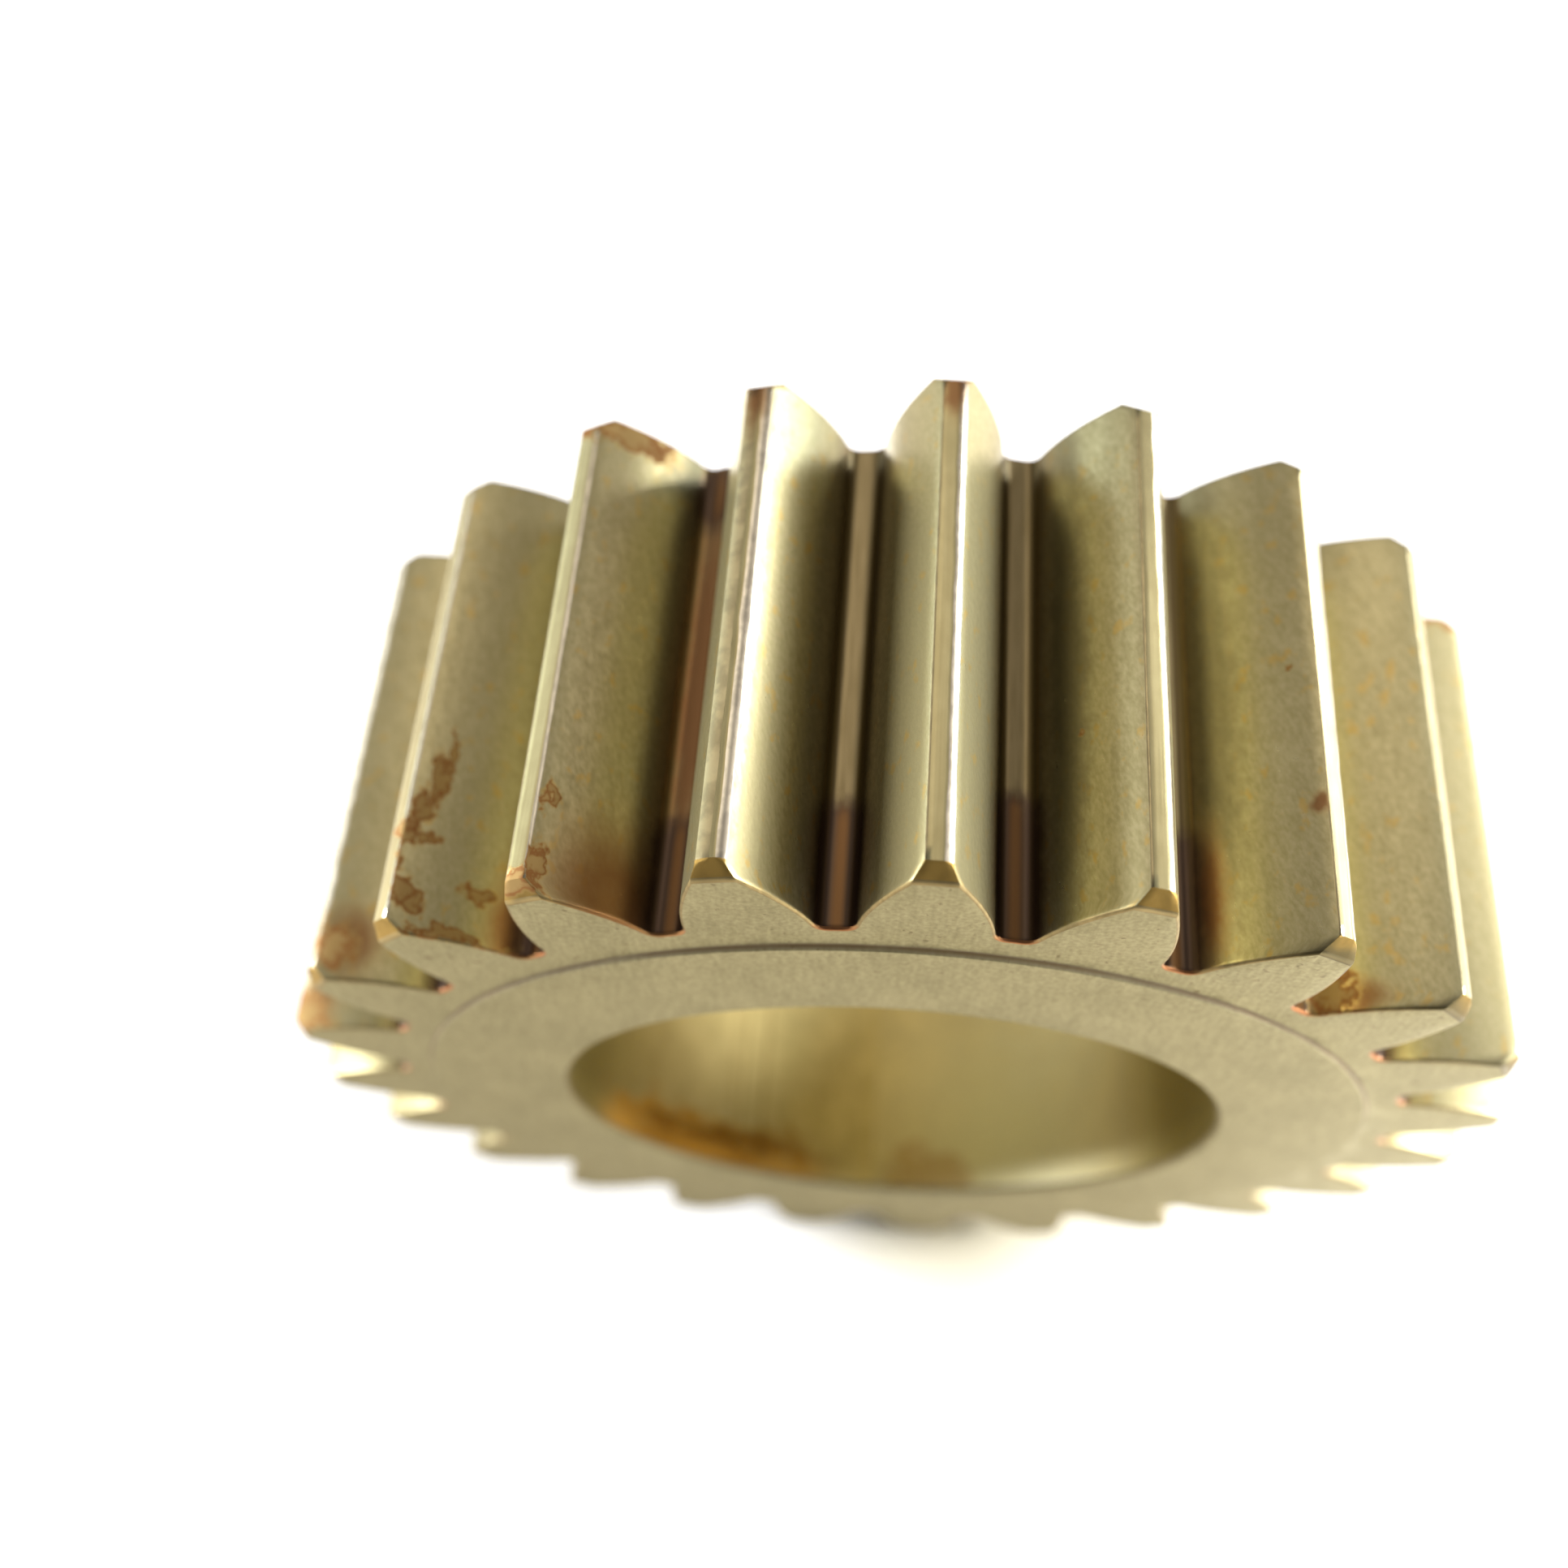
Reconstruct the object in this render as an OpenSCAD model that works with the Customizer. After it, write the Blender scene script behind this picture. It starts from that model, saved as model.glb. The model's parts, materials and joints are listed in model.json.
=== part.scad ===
// One-piece steel spur gear: a turned blank with its tooth spaces cut through it.
// The gear stands on its teeth, with its axis along Y and the middle of one tooth straight up.
// The origin is on the axis, halfway through the width. All lengths are in millimetres.

/* [Teeth] */
// Number of teeth
teeth = 23; // [20:1:60]
// Module, which is the pitch diameter divided by the number of teeth
tooth_module = 2.5; // [2.3:0.05:4]
// Pressure angle of the involute flanks, in degrees
pressure_angle = 25; // [22:0.5:27]
// Profile shift, in modules, which moves the whole tooth outwards
profile_shift = 0.3; // [0:0.05:0.5]
// Thickness taken off each tooth at the pitch circle, for running clearance
backlash = 0.1; // [0:0.05:0.3]
// Radius of the fillet between a flank and the root
root_fillet = 0.6; // [0.3:0.05:0.7]
// Bevel along both long edges of a tooth tip
tip_break = 0.2; // [0.05:0.05:0.3]

/* [Blank] */
// Width of the toothed rim along the axis
face_width = 24.5; // [10:0.5:60]
// Bevel on the tooth tips where they meet each end face
end_chamfer = 0.7; // [0.2:0.1:2]
// How far the thrust boss stands out of each end face
boss_height = 0.25; // [0.05:0.05:1]
// Radial distance from the tooth roots in to the edge of the boss
boss_inset = 1.5; // [0.5:0.25:3]

/* [Bore] */
// Diameter of the plain through bore
bore_diameter = 35; // [10:0.5:42]
// Bevel at each mouth of the bore
bore_chamfer = 0.3; // [0.1:0.1:1]

/* [Hidden] */

$fn = 180;
steel = [0.66, 0.62, 0.52];
// Full-depth teeth: heights above and below the pitch circle, in modules
addendum = 1;
dedendum = 1.25;
// Straight steps along one flank, and along one root fillet
flank_steps = 12;
fillet_steps = 6;
// How far a cut runs past the surface that it opens
overcut = 1;
degrees_per_radian = 180 / PI;

half_pitch = 180 / teeth;
pitch_radius = tooth_module * teeth / 2;
base_radius = pitch_radius * cos(pressure_angle);
tip_radius = pitch_radius + tooth_module * (addendum + profile_shift);
root_radius = pitch_radius - tooth_module * (dedendum - profile_shift);
boss_radius = root_radius - boss_inset;
bore_radius = bore_diameter / 2;
half_face = face_width / 2;
half_width = half_face + boss_height;

// Tooth thickness along the pitch circle, and half its angle where the flanks reach the base circle
pitch_thickness = tooth_module * (PI / 2 + 2 * profile_shift * tan(pressure_angle)) - backlash;
base_half_angle = degrees_per_radian * pitch_thickness / (2 * pitch_radius) + involute(pressure_angle);

// A fillet's centre, and the radius at which the fillet runs into the flank
fillet_centre_radius = root_radius + root_fillet;
fillet_centre_angle = space_angle(fillet_centre_radius, root_fillet);
fillet_top_radius = base_radius * norm([1, roll(fillet_centre_radius) - root_fillet / base_radius]);

// Involute function of an angle in degrees, also in degrees
function involute(angle) = degrees_per_radian * tan(angle) - angle;

// Roll angle of the involute, in radians, at a radius
function roll(radius) = tan(acos(base_radius / radius));

// Angle from the middle of a tooth space to the curve that runs beside its flank, a distance into the space
function space_angle(radius, distance = 0) =
    half_pitch - base_half_angle - degrees_per_radian * distance / base_radius
    + involute(acos(base_radius / radius));

// Point at a radius and an angle clockwise from the Y axis
function polar(radius, angle) = radius * [sin(angle), cos(angle)];

// Arc of the root fillet, from the root up to the flank
function fillet_points() =
    let (
        centre = polar(fillet_centre_radius, fillet_centre_angle),
        top = polar(fillet_top_radius, space_angle(fillet_top_radius)),
        first = -90 - fillet_centre_angle,
        last = atan2(top.y - centre.y, top.x - centre.x)
    )
    [
        for (step = [0:fillet_steps])
            let (angle = first + (last - first) * step / fillet_steps)
            centre + root_fillet * [cos(angle), sin(angle)]
    ];

// Involute from the top of the fillet to the bevel at the tip
function flank_points() =
    let (top = tip_radius - tip_break)
    [
        for (step = [1:flank_steps])
            let (radius = fillet_top_radius + (top - fillet_top_radius) * step / flank_steps)
            polar(radius, space_angle(radius))
    ];

// Bevel at the tip, carried on past the tip circle
function mouth_points() =
    let (angle = space_angle(tip_radius) + degrees_per_radian * tip_break / tip_radius)
    [polar(tip_radius, angle), polar(tip_radius + overcut, angle)];

// Outline of one tooth space, open past the tips and centred on the Y axis
module space_outline() {
    right = concat(fillet_points(), flank_points(), mouth_points());
    left = [for (i = [len(right) - 1:-1:0]) [-right[i].x, right[i].y]];
    polygon(concat(right, left));
}

// Turned blank: bore, thrust bosses and bevelled rim, with its axis along Z
module blank() {
    rim_end = tip_radius - end_chamfer;
    bore_mouth = bore_radius + bore_chamfer;
    upper = [
        [bore_radius, half_width - bore_chamfer],
        [bore_mouth, half_width],
        [boss_radius - boss_height, half_width],
        [boss_radius, half_face],
        [rim_end, half_face],
        [tip_radius, half_face - end_chamfer],
    ];
    lower = [for (i = [len(upper) - 1:-1:0]) [upper[i].x, -upper[i].y]];
    rotate_extrude() polygon(concat(upper, lower));
}

module spur_gear() {
    color(steel)
        rotate([90, 0, 0])
            difference() {
                blank();
                for (i = [0:teeth - 1])
                    rotate([0, 0, (i + 0.5) * 360 / teeth])
                        linear_extrude(2 * (half_width + overcut), center = true)
                            space_outline();
            }
}

spur_gear();
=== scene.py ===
"""Looks of a one-piece steel spur gear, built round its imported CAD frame.

The CAD node gives the size and place. The gear's surface is built here again as one closed loft, finer
than the CAD solid: involute flanks, deburred edges, worn tip bevels and a rounded boss step. Lengths are
in metres.
"""

import json
import math

import bpy
import numpy as np
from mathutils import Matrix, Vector, noise


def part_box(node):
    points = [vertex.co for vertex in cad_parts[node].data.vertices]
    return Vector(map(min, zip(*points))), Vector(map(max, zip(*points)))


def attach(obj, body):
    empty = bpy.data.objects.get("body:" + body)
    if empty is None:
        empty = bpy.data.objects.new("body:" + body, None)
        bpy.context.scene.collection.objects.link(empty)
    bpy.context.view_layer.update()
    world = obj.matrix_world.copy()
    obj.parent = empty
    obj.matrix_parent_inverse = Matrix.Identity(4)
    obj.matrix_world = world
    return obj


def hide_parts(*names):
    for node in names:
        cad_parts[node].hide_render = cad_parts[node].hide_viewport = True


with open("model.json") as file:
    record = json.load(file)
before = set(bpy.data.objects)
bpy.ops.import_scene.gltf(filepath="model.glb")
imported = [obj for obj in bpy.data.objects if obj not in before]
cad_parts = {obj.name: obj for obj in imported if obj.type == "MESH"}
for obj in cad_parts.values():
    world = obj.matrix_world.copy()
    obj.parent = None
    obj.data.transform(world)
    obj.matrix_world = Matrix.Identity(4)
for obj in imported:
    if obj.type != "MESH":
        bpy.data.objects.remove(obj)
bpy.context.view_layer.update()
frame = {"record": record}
node_low, node_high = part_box("spur_gear")
mounts = {mount["name"]: mount for mount in frame["record"]["mounts"]}

MM = 0.001

# Teeth, as the CAD source drives them
TEETH = 23
MODULE = 2.5 * MM
PRESSURE_ANGLE = math.radians(25)
PROFILE_SHIFT = 0.3
BACKLASH = 0.1 * MM
ROOT_FILLET = 0.6 * MM
TIP_BREAK = 0.2 * MM
END_CHAMFER = 0.7 * MM
BOSS_HEIGHT = 0.25 * MM
BOSS_INSET = 1.5 * MM
BORE_CHAMFER = 0.3 * MM

# Edge finish, which the CAD solid leaves sharp. The tip breaks have (across, down) shares of the drawn size
# on each side, -1 anticlockwise and 1 clockwise, and other shares on a few (tooth, side) pairs.
DEBURR = 0.13 * MM
BREAK_WEAR = 0.35
BREAK_ROUNDING = 0.5
LEAST_BREAK = 0.02 * MM
BREAK_SHARES = {-1: (0.3, 0.3), 1: (1.1, 1.1)}
WORN_BREAKS = {
    (TEETH - 1, -1): (2.4, 0.8),
    (TEETH - 2, 1): (0.4, 0.4),
    (TEETH - 3, 1): (0.4, 0.4),
}
BOSS_CORNER = 0.05 * MM

# Sizes read from the frame or worked out from the teeth
HALF_WIDTH = node_high.y
HALF_FACE = HALF_WIDTH - BOSS_HEIGHT
BORE_RADIUS = mounts["bore"]["dims"]["r_mm"] * MM
PITCH_RADIUS = MODULE * TEETH / 2
BASE_RADIUS = PITCH_RADIUS * math.cos(PRESSURE_ANGLE)
TIP_RADIUS = PITCH_RADIUS + MODULE * (1 + PROFILE_SHIFT)
ROOT_RADIUS = PITCH_RADIUS - MODULE * (1.25 - PROFILE_SHIFT)
BOSS_RADIUS = ROOT_RADIUS - BOSS_INSET
TOOTH_STEP = 2 * math.pi / TEETH
FLOOR_Z = node_low.z

# Steps of the loft: across half a tooth, and along the axis
LAND_STEPS, BREAK_STEPS, FLANK_STEPS, FILLET_STEPS, ROOT_STEPS = 2, 2, 12, 5, 2
DEBURR_STEPS, CHAMFER_STEPS, LENGTH_STEPS, FACE_STEPS, BORE_STEPS = 3, 4, 36, 3, 8
SHARP_ANGLE = math.radians(32)

# Light: an even room, soft sky lights as (turn from overhead towards the right, tilt towards the back,
# sharpness, colour), square panels round the gear as (turn, tilt, watts), one panel close beside its
# right-hand teeth, and bright places on the floor as (x, y, radius, strength). A core is the share of a
# radius that has the full strength.
AMBIENT = (0.1, 0.1, 0.1)
SKY_LIGHTS = {
    "left horizon": (-105, 28, 24, (8.2, 9.2, 9.4)),
    "upper left": (-60, 28, 24, (1.12, 0.99, 0.86)),
    "overhead": (-8, 33, 24, (1.65, 1.42, 1.17)),
    "upper right": (45, 28, 24, (0.84, 0.7, 0.57)),
    "right horizon": (105, 28, 24, (15.5, 18.0, 20.0)),
}
PANELS = {
    "right top": (60, 0, 0.75),
    "right upper": (70, 0, 1.2),
    "right lower": (80, 0, 0.45),
    "right back": (64, 33, 0.35),
    "left upper": (-74, 0, 0.9),
    "left floor": (-86, 0, 0.45),
}
PANEL_SIZE = 70 * MM
PANEL_DISTANCE = 350 * MM
NEAR_PANEL_PLACE = (50 * MM, 21 * MM, 47 * MM)
NEAR_PANEL_AIM = (28 * MM, 0, 14 * MM)
NEAR_PANEL_SIZE = 35 * MM
NEAR_PANEL_POWER = 0.0032
FLOOR_SPOTS = {
    "right": (65 * MM, 10 * MM, 55 * MM, 2.8),
    "left": (-110 * MM, 10 * MM, 70 * MM, 0.8),
    "back": (-10 * MM, 60 * MM, 50 * MM, 3.2),
    "front right": (165 * MM, -170 * MM, 160 * MM, 2.6),
    "front left": (-165 * MM, -180 * MM, 160 * MM, 1.7),
}
FLOOR_SPOT_CORE = 0.6

# The floor: half its side, its roughness and the colour that it gives back to the gear
FLOOR_REACH = 4.0
FLOOR_ROUGHNESS = 0.4
FLOOR_BOUNCE_COLOUR = (0.88, 0.80, 0.68)

# What the camera sees instead: a burnt-out floor and backdrop, but for a warm shade under the gear's front as
# (x, y, radius)
FLOOR_SEEN_COLOUR = (0.9, 0.9, 0.89)
FLOOR_CAMERA_GLOW = 0.62
FLOOR_SHADE = (7 * MM, -8 * MM, 16 * MM)
FLOOR_SHADE_CORE = 0.2
FLOOR_SHADE_COLOUR = (1.0, 0.93, 0.72)
BACKDROP = 1.8

# Camera: its place in tip radii from the axis and the front face, angles, lens and focus in front of it
CAMERA_SIDE, CAMERA_FRONT, CAMERA_HEIGHT = -0.121, 0.745, 2.673
CAMERA_TILT, CAMERA_TURN = 27.07, 4.37
SENSOR_WIDTH, FOCAL_LENGTH, F_STOP = 36, 36.235, 20
FOCUS_DISTANCE = 62 * MM
CLIP = (1 * MM, 20)

# Colours of the bare metal, darker and lighter
FLANK_DARK, FLANK_LIGHT = (0.39, 0.345, 0.175), (0.53, 0.48, 0.27)
TIP_DARK, TIP_LIGHT = (0.39, 0.34, 0.17), (0.48, 0.43, 0.23)
ROOT_DARK, ROOT_LIGHT = (0.28, 0.225, 0.11), (0.34, 0.275, 0.145)
FACE_DARK, FACE_LIGHT = (0.32, 0.29, 0.16), (0.49, 0.445, 0.265)
BORE_DARK, BORE_LIGHT = (0.66, 0.56, 0.25), (0.865, 0.74, 0.34)
# Painted shade on the bore's wall above its floor
BORE_SHADE_COLOUR = (0.28, 0.225, 0.07)
CHAMFER_COLOUR = (0.38, 0.25, 0.07)
# Tip breaks, anticlockwise and clockwise: the clockwise colour is lighter, a painted highlight
BREAK_LEFT, BREAK_RIGHT_PAINTED_HIGHLIGHT = (0.46, 0.40, 0.23), (0.78, 0.74, 0.62)
EDGE_COLOUR = (0.36, 0.28, 0.13)
EDGE_DULLING = (0.75, 0.75, 0.75)

# Roughness of the bare metal
FLANK_ROUGHEST, FLANK_SMOOTHEST = 0.38, 0.27
TIP_ROUGHNESS, BREAK_ROUGHNESS, ROOT_ROUGHNESS = 0.25, 0.25, 0.3
CHAMFER_ROUGHNESS, EDGE_ROUGHNESS = 0.6, 0.45
FACE_ROUGHNESS, BORE_ROUGHNESS = 0.6, 0.52

# Bump depth of each finish
FLANK_BUMP, TIP_BUMP, FACE_BUMP = 0.005 * MM, 0.002 * MM, 0.008 * MM

# How much of the light goes straight to the metal, through the thin matte film on the teeth
FILM_METALLIC = 0.75

# Colours of the dirt and stains
SPECK_COLOUR = (0.58, 0.39, 0.10)
PIT_COLOUR = (0.16, 0.12, 0.055)
GROOVE_COLOUR = (0.20, 0.125, 0.045)
SOOT_EDGE_COLOUR, SOOT_STRIP_COLOUR = (0.07, 0.042, 0.03), (0.21, 0.10, 0.032)
TARNISH_DARK, TARNISH_LIGHT = (0.25, 0.115, 0.04), (0.50, 0.35, 0.14)
# Painted shade, darkening a few places on the teeth
PAINTED_SHADE_COLOUR = (0.13, 0.11, 0.055)
ROOT_CORNER_COLOUR = (0.42, 0.19, 0.08)
RUST_HALO, RUST_DARK, RUST_LIGHT = (0.48, 0.34, 0.12), (0.33, 0.145, 0.035), (0.47, 0.31, 0.11)
BORE_STAIN_DARK, BORE_STAIN_LIGHT = (0.22, 0.10, 0.01), (0.55, 0.30, 0.05)

# How much each one covers the metal where it is thickest, and how rust takes the light
SPECK_COVER, PIT_COVER, BORE_MOUTH_COVER = 0.6, 0.6, 0.85
PAINTED_SHADE_COVER, TARNISH_COVER, SOOT_COVER, RUST_HALO_COVER = 0.85, 0.9, 0.92, 0.8
# How far painted shade darkens the flanks towards the root
ROOT_FILLET_SHADE_COVER = 0.75
RUST_ROUGHNESS, RUST_METALLIC = 0.65, 0.5

# Thin lines beside each root, as (mm from its middle, half width, share, colour)
ROOT_LINES = [
    (0.98, 0.06, 0.6, (0.42, 0.27, 0.09)),
    (1.15, 0.04, 0.4, (0.42, 0.32, 0.14)),
]
# Painted shade on the root fillets and the flanks' feet
ROOT_FILLET_SHADE_COLOUR = (0.12, 0.09, 0.035)

# Soot in the tooth spaces, in mm: depth from the front face, from the least to the most, length of its
# rounded end, and half width
SOOT_REACH = (4.8, 7.2)
SOOT_END = 1.6
SOOT_HALF_WIDTH = 1.6

# How far apart the stains count neighbouring teeth, so that a spot stays on its own tooth, and a distance
# that is beyond any spot's reach
TOOTH_SPACING = 5.0
FAR_FROM_SPOTS = 9.0

# Stains and painted shade on the teeth as (tooth, mm across its form, mm along the axis, half size across,
# half size along): crusty rust, brown tarnish, painted shade on a few places and more soot. Teeth count
# clockwise from the top one, and so does the distance across, from the middle of the tip.
RUST_SPOTS = [
    (-3, 2.1, -3.2, 0.12, 0.9),
    (-3, 1.7, -4.6, 0.25, 1.1),
    (-3, 1.2, -6.3, 0.35, 0.8),
    (-3, 0.7, -7.3, 0.5, 0.45),
    (-3, 1.7, -7.6, 0.35, 0.4),
    (-3, 0.5, -8.6, 0.25, 1.0),
    (-3, 1.0, -10.1, 0.4, 0.6),
    (-3, 1.7, -10.6, 0.3, 0.5),
    (-3, 3.2, -12.1, 1.9, 0.22),
    (-3, 4.3, -10.0, 0.5, 0.4),
    (-2, 1.1, -7.8, 0.2, 0.6),
    (-2, 1.0, -10.8, 0.4, 0.8),
    (-2, 0.1, -11.6, 0.4, 0.5),
    (-2, 2.1, 11.6, 1.9, 0.75),
    (-4, 1.4, -10.4, 0.8, 0.9),
    (-5, 1.2, -11.4, 1.0, 0.7),
    (3, -5.8, -11.2, 0.8, 0.9),
    (1, -3.7, -3.7, 0.12, 0.15),
    (2, -1.7, 0.9, 0.12, 0.15),
    (4, -1.6, 11.9, 0.8, 0.3),
]
TARNISH_SPOTS = [
    (-2, 4.3, -11.8, 3.5, 4.3),
    (-3, 6.0, -11.0, 1.4, 3.6),
    (-4, 2.0, -10.2, 1.8, 2.0),
    (-5, 1.5, -11.0, 1.6, 1.8),
    (2, -0.95, -5.7, 0.5, 0.5),
    (3, -4.8, -11.6, 1.6, 1.0),
    (-1, -0.1, 11.2, 0.7, 2.4),
    (0, 0.1, 11.2, 0.6, 2.0),
    (2, -5.7, -9.0, 0.9, 3.5),
    (-2, 7.3, 0.0, 0.9, 14.0),
    (-1, -7.3, 0.0, 0.9, 14.0),
]
# Painted shade on a few flanks and tips
PAINTED_SHADE_SPOTS = [
    (-2, 5.2, 10.9, 1.6, 1.6),
    (1, -4.4, 0.0, 1.5, 16.0),
    (2, -5.0, 0.0, 1.3, 16.0),
    (2, 0.0, -12.4, 2.6, 0.9),
    (3, 0.0, -12.4, 2.6, 0.9),
    (4, 0.0, -12.4, 2.6, 0.9),
]
SOOT_SPOTS = [(-2, 7.3, 10.4, 1.3, 2.4), (-1, -7.3, 10.4, 1.3, 2.4)]

# Dark lines along the bore as (degrees clockwise from the top, half width, share)
BORE_LINES = [(-155, 0.8, 0.5), (-150, 0.6, 0.4), (-147.5, 1.4, 0.2), (-132, 34, 0.35)]

# Dark line at the boss step, in mm: how far inside the step it lies, and its half width
GROOVE_INSET, GROOVE_HALF_WIDTH = 0.05, 0.14

# Painted shade: the bore's wall darkens upwards from the first of these places to the second, in degrees
# from the top
BORE_SHADE_PLACES = (140, 100)

# Stains round the bore's front edge as (degrees clockwise from the top, half width, mm in from the face,
# share of the lighter colour, share of the darker)
BORE_STAINS = [(-140, 42, 4.0, 0.9, 0.9), (168, 13, 3.5, 0.45, 0.0)]

# A painted highlight at the bore's front edge, in a lighter colour, as (degrees clockwise from the top, half
# width, mm in from the face)
BORE_PAINTED_HIGHLIGHT = (150, 42, 20.0)
BORE_PAINTED_HIGHLIGHT_COLOUR = (1.0, 0.97, 0.66)

# Zones of the surface, in the order of the gear's material slots
FLANK, TIP, BREAK, ROOT, CHAMFER, EDGE, FACE, BORE = range(8)


# --------------------------------------------------------------------------------------------- tooth form


def involute(angle):
    return math.tan(angle) - angle


def roll(radius):
    """Roll angle of the flank's involute at a radius."""
    return math.tan(math.acos(BASE_RADIUS / radius))


PITCH_THICKNESS = MODULE * (math.pi / 2 + 2 * PROFILE_SHIFT * math.tan(PRESSURE_ANGLE)) - BACKLASH
BASE_HALF_ANGLE = PITCH_THICKNESS / (2 * PITCH_RADIUS) + involute(PRESSURE_ANGLE)


def flank_angle(radius, inset=0.0):
    """Angle from a tooth's middle to its flank at a radius. A positive inset lies inside the metal."""
    return BASE_HALF_ANGLE - inset / BASE_RADIUS - involute(math.acos(BASE_RADIUS / radius))


def half_outline(top, tip_break, inset):
    """Half a tooth's outline as (radius, angle) pairs, from its tip's middle to the middle of the space."""
    points = []
    break_across, break_down = tip_break
    crest = top - inset
    land_angle = flank_angle(crest, inset) - break_across / crest
    for step in range(LAND_STEPS):
        points.append((crest, land_angle * step / LAND_STEPS))

    shoulder = crest - break_down
    shoulder_angle = flank_angle(shoulder, inset)
    for step in range(BREAK_STEPS):
        share = step / BREAK_STEPS
        bulge = BREAK_ROUNDING * break_down * share * (1 - share)
        radius = crest + (shoulder - crest) * share + bulge
        points.append((radius, land_angle + (shoulder_angle - land_angle) * share + bulge / crest))

    fillet = ROOT_FILLET + inset
    centre_radius = ROOT_RADIUS + ROOT_FILLET
    centre_angle = flank_angle(centre_radius, -ROOT_FILLET)
    foot_roll = roll(centre_radius) - fillet / BASE_RADIUS
    foot = BASE_RADIUS * math.sqrt(1 + foot_roll**2)
    for step in range(FLANK_STEPS):
        radius = shoulder + (foot - shoulder) * step / FLANK_STEPS
        points.append((radius, flank_angle(radius, inset)))

    centre = centre_radius * np.array([math.sin(centre_angle), math.cos(centre_angle)])
    foot_angle = flank_angle(foot, inset)
    foot_point = foot * np.array([math.sin(foot_angle), math.cos(foot_angle)])
    first = math.atan2(*(foot_point - centre)[::-1]) % (2 * math.pi)
    last = 1.5 * math.pi - centre_angle
    for step in range(FILLET_STEPS):
        turn = first + (last - first) * step / FILLET_STEPS
        x, z = centre + fillet * np.array([math.cos(turn), math.sin(turn)])
        points.append((math.hypot(x, z), math.atan2(x, z)))

    for step in range(ROOT_STEPS + 1):
        angle = centre_angle + (TOOTH_STEP / 2 - centre_angle) * step / ROOT_STEPS
        points.append((ROOT_RADIUS - inset, angle))
    return np.array(points)


HALF_COLUMNS = LAND_STEPS + BREAK_STEPS + FLANK_STEPS + FILLET_STEPS + ROOT_STEPS
TOOTH_COLUMNS = 2 * HALF_COLUMNS
HALF_ZONES = [TIP] * LAND_STEPS + [BREAK] * BREAK_STEPS + [FLANK] * FLANK_STEPS
HALF_ZONES += [ROOT] * (FILLET_STEPS + ROOT_STEPS)


def break_size(tooth, side, y, drawn):
    """(across, down) size of a tip break, which wanders along the tooth."""
    across, down = WORN_BREAKS.get((tooth, side), BREAK_SHARES[side])
    # Every edge reads its own lines through the noise
    place = Vector((tooth * 7.3 + side * 3.1, y / MM * 0.9, 5.0))
    fine = Vector((tooth * 5.1 + side * 1.7, y / MM * 3.1, 9.0))
    wander = BREAK_WEAR * min(1 / across, 1) * (noise.noise(place) + 0.5 * noise.noise(fine))
    return drawn * across * (1 + wander), drawn * down * (1 + wander)


def section(y, top, bevel, inset):
    """One closed loop of (radius, angle) pairs, clockwise round all the teeth."""
    loop = []
    for tooth in range(TEETH):
        halves = []
        for side in (-1, 1):
            half = half_outline(top, break_size(tooth, side, y, bevel), inset)
            half[:, 1] *= side
            halves.append(half)
        left, right = halves
        whole = np.concatenate([left[:0:-1], right[:-1]])
        whole[:, 1] += tooth * TOOTH_STEP
        loop.append(whole)
    return np.concatenate(loop)


# ----------------------------------------------------------------------------------------------- the loft


def tooth_stations():
    """(distance in from the face, tip radius, bevel, inset) from the face to the end of the tip chamfer."""
    stations = []
    for step in range(DEBURR_STEPS + 1):
        turn = math.pi / 2 * step / DEBURR_STEPS
        stations.append((DEBURR * (1 - math.cos(turn)), DEBURR * (1 - math.sin(turn))))
    for step in range(1, CHAMFER_STEPS + 1):
        stations.append((DEBURR + (END_CHAMFER - DEBURR) * step / CHAMFER_STEPS, 0.0))
    rows = []
    for depth, inset in stations:
        top = TIP_RADIUS - max(END_CHAMFER - depth, 0)
        bevel = max(top - (TIP_RADIUS - TIP_BREAK), LEAST_BREAK)
        rows.append((depth, top, bevel, inset))
    return rows


def circle_like(loop, radius):
    """A round loop whose points keep the angles of another."""
    return np.column_stack([np.full(len(loop), radius), loop[:, 1]])


def front_rings():
    """Rings from the middle of the bore wall, out over the front face, to the end of the tip chamfer.

    Each ring is (y, loop, kind of the band that follows it)."""
    stations = tooth_stations()
    outline = section(-HALF_FACE, *stations[0][1:])
    mouth = BORE_RADIUS + BORE_CHAMFER
    crown = BOSS_RADIUS - BOSS_HEIGHT * 0.5
    rings = []
    for step in range(BORE_STEPS // 2):
        share = (step + 0.5) / (BORE_STEPS / 2)
        rings.append((-(HALF_WIDTH - BORE_CHAMFER) * share, circle_like(outline, BORE_RADIUS), BORE))
    rings.append((-(HALF_WIDTH - BORE_CHAMFER), circle_like(outline, BORE_RADIUS), FACE))
    rings.append((-HALF_WIDTH, circle_like(outline, mouth), FACE))
    for step in range(1, FACE_STEPS):
        share = step / FACE_STEPS
        rings.append((-HALF_WIDTH, circle_like(outline, mouth + (crown - mouth) * share), FACE))
    rings.append((-HALF_WIDTH, circle_like(outline, crown - BOSS_CORNER), FACE))
    rings.append((-HALF_WIDTH + BOSS_CORNER, circle_like(outline, crown), FACE))
    rings.append((-HALF_FACE - BOSS_CORNER, circle_like(outline, BOSS_RADIUS - BOSS_CORNER), FACE))
    rings.append((-HALF_FACE, circle_like(outline, BOSS_RADIUS + BOSS_CORNER), FACE))
    for step in range(1, FACE_STEPS):
        share = step / FACE_STEPS
        loop = outline.copy()
        start = BOSS_RADIUS + BOSS_CORNER
        loop[:, 0] = start + (outline[:, 0] - start) * share
        rings.append((-HALF_FACE, loop, FACE))
    for index, (depth, top, bevel, inset) in enumerate(stations):
        y = -HALF_FACE + depth
        kind = EDGE if index < DEBURR_STEPS else CHAMFER
        rings.append((y, section(y, top, bevel, inset), kind))
    return rings


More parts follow.
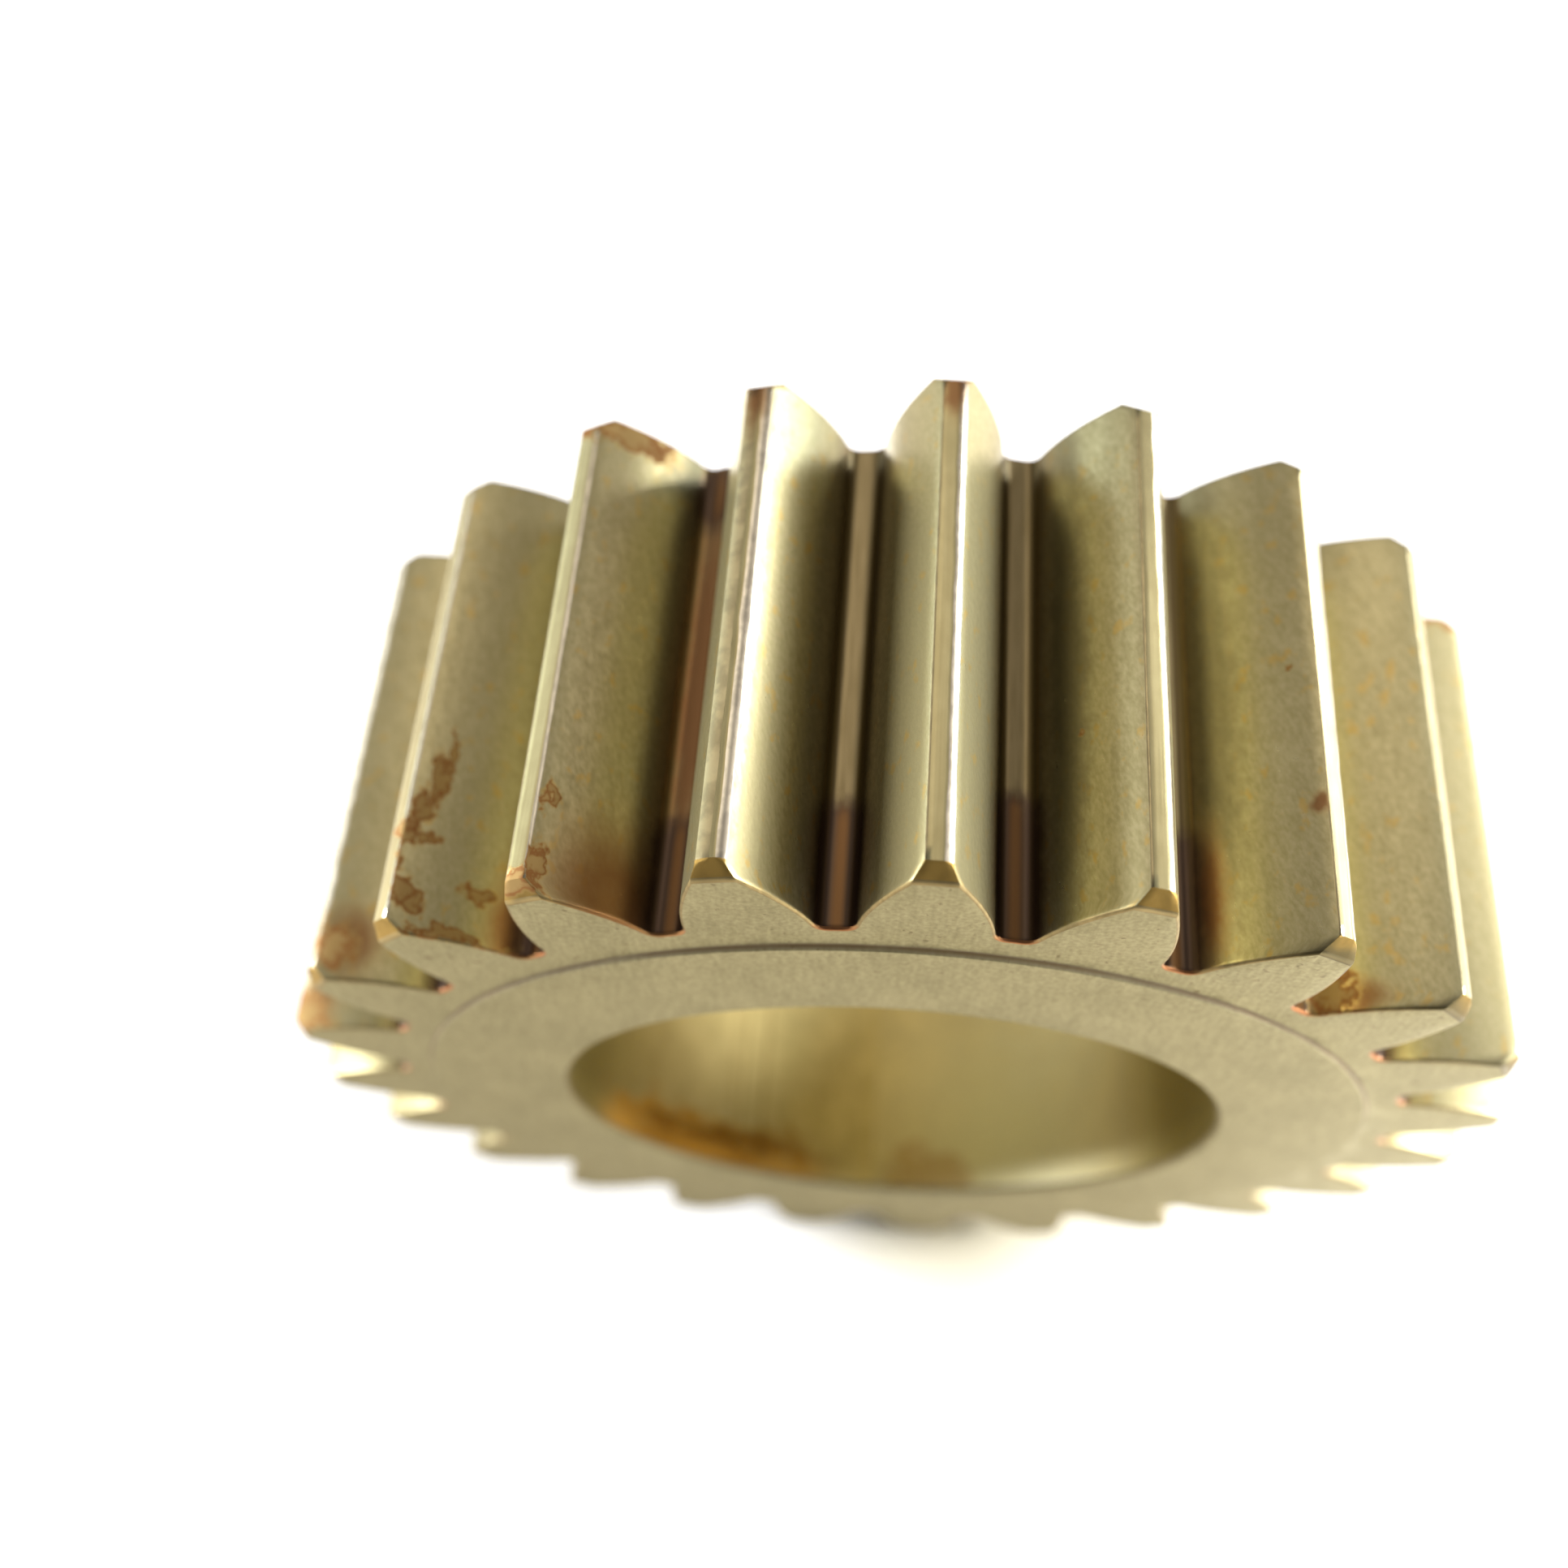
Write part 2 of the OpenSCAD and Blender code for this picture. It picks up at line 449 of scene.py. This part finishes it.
def all_rings():
    """The closed series of rings round the gear's cross-section."""
    front = front_rings()
    back = [(-y, loop, kind) for y, loop, kind in front][::-1]
    # A band belongs to the ring before it, so the mirrored kinds move along by one
    kinds = [kind for _, _, kind in back][1:] + [BORE]
    back = [(y, loop, kind) for (y, loop, _), kind in zip(back, kinds)]
    start, end = front[-1][0], back[0][0]
    middle = []
    for step in range(1, LENGTH_STEPS):
        y = start + (end - start) * step / LENGTH_STEPS
        middle.append((y, section(y, TIP_RADIUS, TIP_BREAK, 0.0), FLANK))
    front[-1] = (front[-1][0], front[-1][1], FLANK)
    return front + middle + back


def zone_of(kind, column):
    """Material zone of a face: the teeth's own zones along their length, and the ring's kind elsewhere."""
    place = column % TOOTH_COLUMNS
    half = HALF_COLUMNS - 1 - place if place < HALF_COLUMNS else place - HALF_COLUMNS
    across = HALF_ZONES[half]
    if kind == FLANK:
        return across
    if kind == CHAMFER:
        return CHAMFER if across in (TIP, BREAK) else across
    return kind


def profile_distances():
    """Distance in mm from the tip's middle at each column of a tooth, negative anticlockwise."""
    radius, angle = half_outline(TIP_RADIUS, (TIP_BREAK, TIP_BREAK), 0.0).T
    steps = np.hypot(np.diff(radius * np.sin(angle)), np.diff(radius * np.cos(angle)))
    away = np.concatenate([[0], np.cumsum(steps)]) / MM
    return np.concatenate([-away[:0:-1], away])


PROFILE_LENGTH = float(profile_distances()[-1])


def surface_places(rings):
    """(mm across the tooth form, mm along the axis, tooth) at every face's corners, in the faces' order."""
    across = profile_distances()
    tooth, column = np.divmod(np.arange(TEETH * TOOTH_COLUMNS), TOOTH_COLUMNS)
    here, there = across[column], across[column + 1]
    corners = []
    for index, (y, _, _) in enumerate(rings):
        after = rings[(index + 1) % len(rings)][0]
        band = np.empty((len(tooth), 4, 3))
        band[:, :, 0] = np.column_stack([here, there, there, here])
        band[:, :, 1] = np.array([y, y, after, after]) / MM
        band[:, :, 2] = tooth[:, None]
        corners.append(band)
    return np.concatenate(corners)


def gear_mesh():
    rings = all_rings()
    columns = TEETH * TOOTH_COLUMNS
    points = []
    for y, loop, _ in rings:
        radius, angle = loop.T
        points.append(np.column_stack([radius * np.sin(angle), np.full(columns, y), radius * np.cos(angle)]))
    points = np.concatenate(points)

    column = np.arange(columns)
    following = (column + 1) % columns
    faces, zones = [], []
    for index, (_, _, kind) in enumerate(rings):
        this, after = index * columns, (index + 1) % len(rings) * columns
        corners = [this + column, this + following, after + following, after + column]
        faces.append(np.column_stack(corners))
        zones.append(np.array([zone_of(kind, place) for place in column]))
    faces = np.concatenate(faces)
    zones = np.concatenate(zones)

    mesh = bpy.data.meshes.new("spur_gear_surface")
    mesh.from_pydata(points.tolist(), [], faces.tolist())
    mesh.polygons.foreach_set("material_index", zones.astype(np.int32))
    mesh.polygons.foreach_set("use_smooth", np.ones(len(faces), bool))
    surface = mesh.attributes.new("surface", "FLOAT_VECTOR", "CORNER")
    surface.data.foreach_set("vector", surface_places(rings).ravel())
    mesh.update()
    mesh.set_sharp_from_angle(angle=SHARP_ANGLE)
    return mesh


# ---------------------------------------------------------------------------------------------- materials


class Painter:
    """One node tree, with a short call for each kind of node. Inputs are values or other nodes' outputs."""

    def __init__(self, tree):
        self.nodes = tree.nodes
        self.links = tree.links

    def feed(self, socket, value):
        if isinstance(value, bpy.types.NodeSocket):
            self.links.new(value, socket)
        elif socket.type == "RGBA":
            socket.default_value = (*value, 1)
        else:
            socket.default_value = value

    def add(self, kind, inputs, **settings):
        node = self.nodes.new("ShaderNode" + kind)
        for name, value in settings.items():
            setattr(node, name, value)
        for key, value in inputs.items():
            self.feed(node.inputs[key], value)
        return node

    def math(self, operation, *values):
        return self.add("Math", dict(enumerate(values)), operation=operation).outputs[0]

    def vector(self, operation, *values):
        return self.add("VectorMath", dict(enumerate(values)), operation=operation).outputs["Vector"]

    def dot(self, first, second):
        return self.add("VectorMath", {0: first, 1: second}, operation="DOT_PRODUCT").outputs["Value"]

    def length(self, value):
        return self.add("VectorMath", {0: value}, operation="LENGTH").outputs["Value"]

    def split(self, value):
        return self.add("SeparateXYZ", {0: value}).outputs

    def join(self, x, y, z):
        return self.add("CombineXYZ", {0: x, 1: y, 2: z}).outputs[0]

    def surface(self):
        """(mm across the tooth form from the tip's middle, mm along the axis, tooth number)"""
        return self.add("Attribute", {}, attribute_name="surface").outputs["Vector"]

    def from_root(self):
        """Distance in mm across the tooth form from the middle of the tooth space."""
        across = self.split(self.surface())[0]
        return self.math("SUBTRACT", PROFILE_LENGTH, self.math("ABSOLUTE", across))

    def place(self):
        """Position in millimetres."""
        coordinates = self.add("TexCoord", {}).outputs["Object"]
        return self.vector("DIVIDE", coordinates, (MM, MM, MM))

    def noise(self, place, stretch, detail=2.0, output="Fac"):
        """Noise with about one feature per millimetre, times the stretch along each axis."""
        scaled = self.vector("MULTIPLY", place, stretch)
        node = self.add("TexNoise", {"Vector": scaled, "Scale": 1.0, "Detail": detail})
        return node.outputs[output]

    def fade(self, value, start, end, low=0.0, high=1.0):
        """Smooth change from low, where the value is at start, to high, where it is at end."""
        inputs = {"Value": value, "From Min": start, "From Max": end, "To Min": low, "To Max": high}
        return self.add("MapRange", inputs, interpolation_type="SMOOTHSTEP").outputs["Result"]

    def line(self, value, middle, half_width):
        """1 on a line where the value is at its middle, fading to 0 at its half width."""
        away = self.math("ABSOLUTE", self.math("SUBTRACT", value, middle))
        return self.fade(away, half_width, 0.0)

    def mix(self, share, first, second):
        node = self.add("Mix", {"Factor": share}, data_type="RGBA")
        self.feed(node.inputs[6], first)
        self.feed(node.inputs[7], second)
        return node.outputs[2]

    def blend(self, share, first, second):
        return self.add("Mix", {0: share, 2: first, 3: second}).outputs[0]

    def bump(self, height, depth):
        return self.add("Bump", {"Height": height, "Distance": depth}).outputs["Normal"]


def nearest_spot(paint, place, spots):
    """Distance to the nearest spot's middle, in units of its own size."""
    nearest = FAR_FROM_SPOTS
    for tooth, across, along, wide, long in spots:
        scale = (1 / wide, 1 / long, TOOTH_SPACING)
        offset = (-across / wide, -along / long, -TOOTH_SPACING * (tooth % TEETH))
        local = paint.vector("MULTIPLY_ADD", place, scale, offset)
        nearest = paint.math("MINIMUM", paint.length(local), nearest)
    return nearest


def root_soot(paint, place):
    """Burnt-on dirt in every tooth space, from the front face to a depth of its own with a rounded end."""
    across, along, tooth = paint.split(place)
    side = paint.math("MULTIPLY", paint.math("SIGN", across), 0.5)
    gap = paint.math("WRAP", paint.math("ADD", tooth, side), TEETH, 0)
    chance = paint.add("TexWhiteNoise", {"W": gap}, noise_dimensions="1D").outputs["Value"]
    reach = paint.math("MULTIPLY_ADD", chance, SOOT_REACH[1] - SOOT_REACH[0], SOOT_REACH[0])
    depth = paint.math("ADD", along, HALF_FACE / MM)
    beyond = paint.math("DIVIDE", paint.math("SUBTRACT", depth, reach), SOOT_END)
    ended = paint.math("ADD", paint.math("MAXIMUM", beyond, -1.0), 1.0)
    from_root = paint.math("SUBTRACT", PROFILE_LENGTH, paint.math("ABSOLUTE", across))
    sideways = paint.math("DIVIDE", from_root, SOOT_HALF_WIDTH)
    return paint.length(paint.join(sideways, ended, 0.0))


def stain_group():
    """The stains that the tooth materials share: rust, brown tarnish and dark root soot, and painted shade.
    """
    tree = bpy.data.node_groups.new("stains", "ShaderNodeTree")
    paint = Painter(tree)
    surface = paint.surface()
    wander = paint.noise(surface, (1.1, 0.9, 5.3), 4.0, "Color")
    wander = paint.vector("MULTIPLY", paint.vector("SUBTRACT", wander, (0.5, 0.5, 0.5)), (2.0, 2.4, 0.0))
    wandering = paint.vector("ADD", surface, wander)
    grain = paint.noise(surface, (4.0, 3.0, 7.1), 3.0)

    gentle = paint.vector("MULTIPLY_ADD", wander, (0.35, 0.5, 0.0), surface)
    rust = paint.math("MULTIPLY_ADD", grain, 1.5, nearest_spot(paint, wandering, RUST_SPOTS))
    tarnish = nearest_spot(paint, gentle, TARNISH_SPOTS)
    soot = paint.math("MINIMUM", root_soot(paint, gentle), nearest_spot(paint, gentle, SOOT_SPOTS))

    output = tree.nodes.new("NodeGroupOutput")
    levels = {
        "Rust": paint.fade(rust, 2.7, 1.1),
        "Tarnish": paint.fade(tarnish, 1.4, 0.3),
        "Painted shade": paint.fade(nearest_spot(paint, gentle, PAINTED_SHADE_SPOTS), 1.2, 0.3),
        "Soot": paint.fade(soot, 1.15, 0.5),
        "Soot middle": paint.fade(soot, 1.0, 0.1),
    }
    for name, level in levels.items():
        tree.interface.new_socket(name=name, in_out="OUTPUT", socket_type="NodeSocketFloat")
        tree.links.new(level, output.inputs[name])
    return tree


def new_material(name):
    material = bpy.data.materials.new(name)
    material.use_nodes = True
    return material, Painter(material.node_tree)


def finish_material(material, paint, colour, roughness, metallic=1.0, normal=None):
    shader = material.node_tree.nodes["Principled BSDF"]
    paint.feed(shader.inputs["Base Color"], colour)
    paint.feed(shader.inputs["Roughness"], roughness)
    paint.feed(shader.inputs["Metallic"], metallic)
    if normal:
        paint.feed(shader.inputs["Normal"], normal)
    return material


def stained(paint, colour, roughness, soot_cover=SOOT_COVER, metallic=FILM_METALLIC):
    """Colour, roughness and metallic of a tooth surface under its stains and painted shade."""
    stains = paint.nodes.new("ShaderNodeGroup")
    stains.node_tree = bpy.data.node_groups["stains"]
    rust, tarnish, dull, soot, soot_middle = stains.outputs
    strip = paint.math("MULTIPLY", paint.fade(paint.from_root(), 0.45, 0.05), soot_middle)
    soot_colour = paint.mix(strip, SOOT_EDGE_COLOUR, SOOT_STRIP_COLOUR)
    tarnish_colour = paint.mix(tarnish, TARNISH_LIGHT, TARNISH_DARK)
    rust_colour = paint.mix(paint.fade(rust, 0.65, 1.0), RUST_DARK, RUST_LIGHT)
    crust = paint.fade(rust, 0.25, 0.65)
    # Painted shade, darkening a few places on the teeth
    colour = paint.mix(paint.math("MULTIPLY", dull, PAINTED_SHADE_COVER), colour, PAINTED_SHADE_COLOUR)
    colour = paint.mix(paint.math("MULTIPLY", tarnish, TARNISH_COVER), colour, tarnish_colour)
    colour = paint.mix(paint.math("MULTIPLY", soot, soot_cover), colour, soot_colour)
    colour = paint.mix(paint.fade(rust, 0.0, 0.5, 0.0, RUST_HALO_COVER), colour, RUST_HALO)
    colour = paint.mix(crust, colour, rust_colour)
    roughness = paint.blend(crust, roughness, RUST_ROUGHNESS)
    metallic = paint.blend(crust, metallic, RUST_METALLIC)
    return colour, roughness, metallic


def ground_flank():
    """Fine leaning grain, faint blotches and yellowish specks, darker towards the root in painted shade."""
    material, paint = new_material("ground_flank")
    surface = paint.surface()
    across, along, tooth = paint.split(surface)
    leaning = paint.join(paint.math("MULTIPLY_ADD", along, 0.28, across), along, tooth)
    streaks = paint.noise(leaning, (3.0, 1.0, 5.7), 3.0)
    grain = paint.noise(leaning, (6.0, 3.2, 3.3), 2.0)
    drift = paint.noise(surface, (0.4, 0.2, 2.9), 2.0)
    tone = paint.blend(0.15, paint.blend(0.6, streaks, grain), drift)
    colour = paint.mix(paint.fade(tone, 0.3, 0.7), FLANK_DARK, FLANK_LIGHT)
    specks = paint.fade(paint.noise(surface, (1.5, 1.0, 9.1), 4.0), 0.58, 0.70)
    colour = paint.mix(paint.math("MULTIPLY", specks, SPECK_COVER), colour, SPECK_COLOUR)
    # Painted shade, darker towards the root
    shaded = paint.fade(paint.from_root(), 3.0, 0.9, 0.0, ROOT_FILLET_SHADE_COVER)
    colour = paint.mix(shaded, colour, ROOT_FILLET_SHADE_COLOUR)
    roughness = paint.fade(tone, 0.3, 0.7, FLANK_ROUGHEST, FLANK_SMOOTHEST)
    colour, roughness, metallic = stained(paint, colour, roughness)
    normal = paint.bump(paint.blend(0.6, streaks, grain), FLANK_BUMP)
    return finish_material(material, paint, colour, roughness, metallic, normal)


def turned_tip():
    """Smooth, with faint lines along the tooth."""
    material, paint = new_material("turned_tip")
    surface = paint.surface()
    lines = paint.noise(surface, (7.0, 0.15, 4.9), 2.0)
    patches = paint.noise(surface, (1.6, 0.7, 6.1), 3.0)
    tone = paint.blend(0.5, lines, patches)
    colour = paint.mix(paint.fade(tone, 0.3, 0.7), TIP_DARK, TIP_LIGHT)
    colour, roughness, metallic = stained(paint, colour, TIP_ROUGHNESS)
    normal = paint.bump(lines, TIP_BUMP)
    return finish_material(material, paint, colour, roughness, metallic, normal)


def worn_edge(name, left_colour, right_colour, roughness):
    """Bare metal where the corners are broken, reddish in the corners of the roots, and on the tip breaks
    lighter on the clockwise side, a painted highlight.
    """
    material, paint = new_material(name)
    surface = paint.surface()
    across = paint.split(surface)[0]
    # The clockwise side takes the right colour, which on the tip breaks is a painted highlight
    bright = paint.mix(paint.math("GREATER_THAN", across, 0.0), left_colour, right_colour)
    patches = paint.noise(surface, (2.4, 1.3, 8.3), 3.0)
    dull = paint.vector("MULTIPLY", bright, EDGE_DULLING)
    colour = paint.mix(paint.fade(patches, 0.35, 0.65), dull, bright)
    colour = paint.mix(paint.fade(paint.from_root(), 1.3, 0.5), colour, ROOT_CORNER_COLOUR)
    colour, roughness, metallic = stained(paint, colour, roughness, soot_cover=0.0, metallic=1.0)
    return finish_material(material, paint, colour, roughness, metallic)


def tooth_root():
    """A plain strip in the middle of the space, between fillets in painted shade, with thin lines along them.
    """
    material, paint = new_material("tooth_root")
    from_root = paint.from_root()
    streaks = paint.noise(paint.surface(), (5.0, 0.4, 5.1), 2.0)
    colour = paint.mix(paint.fade(streaks, 0.3, 0.7), ROOT_DARK, ROOT_LIGHT)
    # Painted shade on the fillets on either side of the strip
    colour = paint.mix(paint.fade(from_root, 0.38, 0.52), colour, ROOT_FILLET_SHADE_COLOUR)
    for middle, half_width, share, line_colour in ROOT_LINES:
        line = paint.math("MULTIPLY", paint.line(from_root, middle, half_width), share)
        colour = paint.mix(line, colour, line_colour)
    colour, roughness, metallic = stained(paint, colour, ROOT_ROUGHNESS)
    return finish_material(material, paint, colour, roughness, metallic)


def end_face():
    """Fine matte grain with faint upright lines, dark specks, and darker at the boss step and the bore's
    mouth.
    """
    material, paint = new_material("end_face")
    place = paint.place()
    grain = paint.noise(place, (4.5, 4.5, 4.5), 3.0)
    lines = paint.noise(place, (5.0, 1.0, 0.7), 2.0)
    clouds = paint.noise(place, (0.25, 0.25, 0.25), 3.0)
    tone = paint.blend(0.25, paint.blend(0.35, grain, lines), clouds)
    colour = paint.mix(paint.fade(tone, 0.3, 0.7), FACE_DARK, FACE_LIGHT)
    pits = paint.fade(paint.noise(place, (2.4, 2.4, 2.4), 3.0), 0.64, 0.74)
    colour = paint.mix(paint.math("MULTIPLY", pits, PIT_COVER), colour, PIT_COLOUR)
    radius = paint.length(paint.vector("MULTIPLY", place, (1.0, 0.0, 1.0)))
    groove = paint.line(radius, BOSS_RADIUS / MM - GROOVE_INSET, GROOVE_HALF_WIDTH)
    broken = paint.fade(clouds, 0.3, 0.55, 0.6, 0.95)
    # A darker broken line along the boss step
    dirt = paint.math("MULTIPLY", groove, broken)
    colour = paint.mix(dirt, colour, GROOVE_COLOUR)
    edge = (BORE_RADIUS + BORE_CHAMFER) / MM
    mouth = paint.fade(radius, edge, BORE_RADIUS / MM, 0.0, BORE_MOUTH_COVER)
    colour = paint.mix(mouth, colour, PIT_COLOUR)
    normal = paint.bump(paint.blend(0.3, grain, lines), FACE_BUMP)
    metallic = paint.fade(dirt, 0.0, 0.6, 1.0, 0.0)
    return finish_material(material, paint, colour, FACE_ROUGHNESS, metallic, normal)


def honed_bore():
    """Golden below and darker above in painted shade, with lines along it, a painted highlight and stains at
    its mouth.
    """
    material, paint = new_material("honed_bore")
    place = paint.place()
    x, y, z = paint.split(place)
    turn = paint.math("ARCTAN2", x, z)
    wall = paint.join(paint.math("MULTIPLY", turn, BORE_RADIUS / MM), y, 0.0)
    clouds = paint.noise(wall, (0.5, 0.3, 1.0), 3.0)
    grain = paint.noise(wall, (3.0, 1.5, 1.0), 2.0)
    tone = paint.blend(0.4, clouds, grain)
    colour = paint.mix(paint.fade(tone, 0.3, 0.7), BORE_DARK, BORE_LIGHT)
    # Painted shade, darkening the wall from its lower sides to its top
    upper = paint.fade(paint.math("ABSOLUTE", turn), *np.radians(BORE_SHADE_PLACES).tolist())
    colour = paint.mix(upper, colour, BORE_SHADE_COLOUR)
    for degrees, half_width, share in BORE_LINES:
        away = paint.math("SUBTRACT", turn, math.radians(degrees))
        line = paint.line(away, 0.0, math.radians(half_width))
        colour = paint.mix(paint.math("MULTIPLY", line, share), colour, BORE_STAIN_DARK)
    ragged = paint.noise(wall, (0.5, 0.9, 1.0), 4.0)
    depth = paint.math("ADD", y, HALF_WIDTH / MM)
    depth = paint.math("SUBTRACT", depth, paint.math("MULTIPLY", paint.math("SUBTRACT", ragged, 0.5), 5.0))
    # A painted highlight: a lighter colour at the lower right of the bore's front edge
    degrees, half_width, reach = BORE_PAINTED_HIGHLIGHT
    away = paint.math("SUBTRACT", turn, math.radians(degrees))
    spread = paint.line(away, 0.0, math.radians(half_width))
    painted_highlight = paint.math("MULTIPLY", spread, paint.fade(depth, reach, 0.15 * reach))
    colour = paint.mix(painted_highlight, colour, BORE_PAINTED_HIGHLIGHT_COLOUR)
    for degrees, half_width, reach, light_share, dark_share in BORE_STAINS:
        away = paint.math("SUBTRACT", turn, math.radians(degrees))
        spread = paint.line(away, 0.0, math.radians(half_width))
        level = paint.math("MULTIPLY", spread, paint.fade(depth, reach, 0.2 * reach))
        colour = paint.mix(paint.fade(level, 0.05, 0.4, 0.0, light_share), colour, BORE_STAIN_LIGHT)
        colour = paint.mix(paint.fade(level, 0.35, 0.85, 0.0, dark_share), colour, BORE_STAIN_DARK)
    return finish_material(material, paint, colour, BORE_ROUGHNESS)


def gear_materials():
    """The materials in the order of the zones."""
    stain_group()
    return [
        ground_flank(),
        turned_tip(),
        worn_edge("tip_break", BREAK_LEFT, BREAK_RIGHT_PAINTED_HIGHLIGHT, BREAK_ROUGHNESS),
        tooth_root(),
        worn_edge("end_chamfer", CHAMFER_COLOUR, CHAMFER_COLOUR, CHAMFER_ROUGHNESS),
        worn_edge("deburred_edge", EDGE_COLOUR, EDGE_COLOUR, EDGE_ROUGHNESS),
        end_face(),
        honed_bore(),
    ]


# ----------------------------------------------------------------------------------------- floor and light


def make_floor():
    """A white sheet with bright places that light the gear. The camera sees it burnt out instead."""
    mesh = bpy.data.meshes.new("floor")
    corners = [(-1, -1), (1, -1), (1, 1), (-1, 1)]
    mesh.from_pydata([(x * FLOOR_REACH, y * FLOOR_REACH, FLOOR_Z) for x, y in corners], [], [(0, 1, 2, 3)])
    floor = bpy.data.objects.new("floor", mesh)
    bpy.context.scene.collection.objects.link(floor)
    material, paint = new_material("white_sheet")
    shader = material.node_tree.nodes["Principled BSDF"]
    seen = paint.add("LightPath", {}).outputs["Is Camera Ray"]
    place = paint.add("TexCoord", {}).outputs["Object"]
    x, y, radius = FLOOR_SHADE
    away = paint.length(paint.vector("SUBTRACT", place, (x, y, FLOOR_Z)))
    shade = paint.fade(away, radius, FLOOR_SHADE_CORE * radius)
    tint = paint.mix(shade, (1, 1, 1), FLOOR_SHADE_COLOUR)
    seen_colour = paint.vector("MULTIPLY", tint, FLOOR_SEEN_COLOUR)
    paint.feed(shader.inputs["Base Color"], paint.mix(seen, FLOOR_BOUNCE_COLOUR, seen_colour))
    paint.feed(shader.inputs["Roughness"], FLOOR_ROUGHNESS)
    paint.feed(shader.inputs["Emission Color"], tint)
    glow = 0.0
    for x, y, radius, strength in FLOOR_SPOTS.values():
        away = paint.length(paint.vector("SUBTRACT", place, (x, y, FLOOR_Z)))
        glow = paint.math("ADD", paint.fade(away, radius, FLOOR_SPOT_CORE * radius, 0.0, strength), glow)
    camera_glow = paint.blend(shade, FLOOR_CAMERA_GLOW, 0.0)
    paint.feed(shader.inputs["Emission Strength"], paint.blend(seen, glow, camera_glow))
    floor.data.materials.append(material)


def direction(turn, tilt):
    """Direction at a turn from overhead towards the right and a tilt towards the back, in degrees."""
    turn, tilt = math.radians(turn), math.radians(tilt)
    return Vector((math.sin(turn) * math.cos(tilt), math.sin(tilt), math.cos(turn) * math.cos(tilt)))


def make_world():
    """A dim room with soft broad lights, each fading with the angle from its own direction, and a backdrop
    that only the camera sees."""
    world = bpy.data.worlds.new("studio")
    bpy.context.scene.world = world
    world.use_nodes = True
    paint = Painter(world.node_tree)
    view = paint.add("TexCoord", {}).outputs["Generated"]
    light = AMBIENT
    for turn, tilt, sharpness, colour in SKY_LIGHTS.values():
        facing = paint.dot(view, direction(turn, tilt))
        glow = paint.math("EXPONENT", paint.math("MULTIPLY_ADD", facing, sharpness, -sharpness))
        light = paint.vector("MULTIPLY_ADD", paint.join(glow, glow, glow), colour, light)
    seen = paint.add("LightPath", {}).outputs["Is Camera Ray"]
    background = world.node_tree.nodes["Background"]
    paint.feed(background.inputs["Color"], paint.mix(seen, light, (BACKDROP, BACKDROP, BACKDROP)))


def panel(name, place, aim, size, power):
    """A square light that the camera doesn't see."""
    data = bpy.data.lights.new(name, "AREA")
    data.size = size
    data.energy = power
    lamp = bpy.data.objects.new(name, data)
    lamp.location = place
    lamp.visible_camera = False
    lamp.rotation_euler = (Vector(aim) - Vector(place)).to_track_quat("-Z", "Y").to_euler()
    bpy.context.scene.collection.objects.link(lamp)


def make_camera():
    """Close above the gear and a little in front, as the tip radius and face place it."""
    data = bpy.data.cameras.new("camera")
    camera = bpy.data.objects.new("camera", data)
    bpy.context.scene.collection.objects.link(camera)
    camera.location = (
        CAMERA_SIDE * TIP_RADIUS,
        -HALF_FACE - CAMERA_FRONT * TIP_RADIUS,
        CAMERA_HEIGHT * TIP_RADIUS,
    )
    camera.rotation_euler = (math.radians(CAMERA_TILT), 0, math.radians(CAMERA_TURN))
    data.sensor_width = SENSOR_WIDTH
    data.lens = FOCAL_LENGTH
    data.clip_start, data.clip_end = CLIP
    data.dof.use_dof = True
    data.dof.focus_distance = FOCUS_DISTANCE
    data.dof.aperture_fstop = F_STOP
    bpy.context.scene.camera = camera


# ----------------------------------------------------------------------------------------------- the scene

gear = bpy.data.objects.new("spur_gear_body", gear_mesh())
bpy.context.scene.collection.objects.link(gear)
for material in gear_materials():
    gear.data.materials.append(material)
weighted = gear.modifiers.new("even_normals", "WEIGHTED_NORMAL")
weighted.keep_sharp = True
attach(gear, "root")
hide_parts("spur_gear")

make_floor()
make_world()
for name, (turn, tilt, power) in PANELS.items():
    panel(name, direction(turn, tilt) * PANEL_DISTANCE, (0, 0, 0), PANEL_SIZE, power)
panel("near right", NEAR_PANEL_PLACE, NEAR_PANEL_AIM, NEAR_PANEL_SIZE, NEAR_PANEL_POWER)
make_camera()

bpy.context.scene.view_settings.view_transform = "Standard"
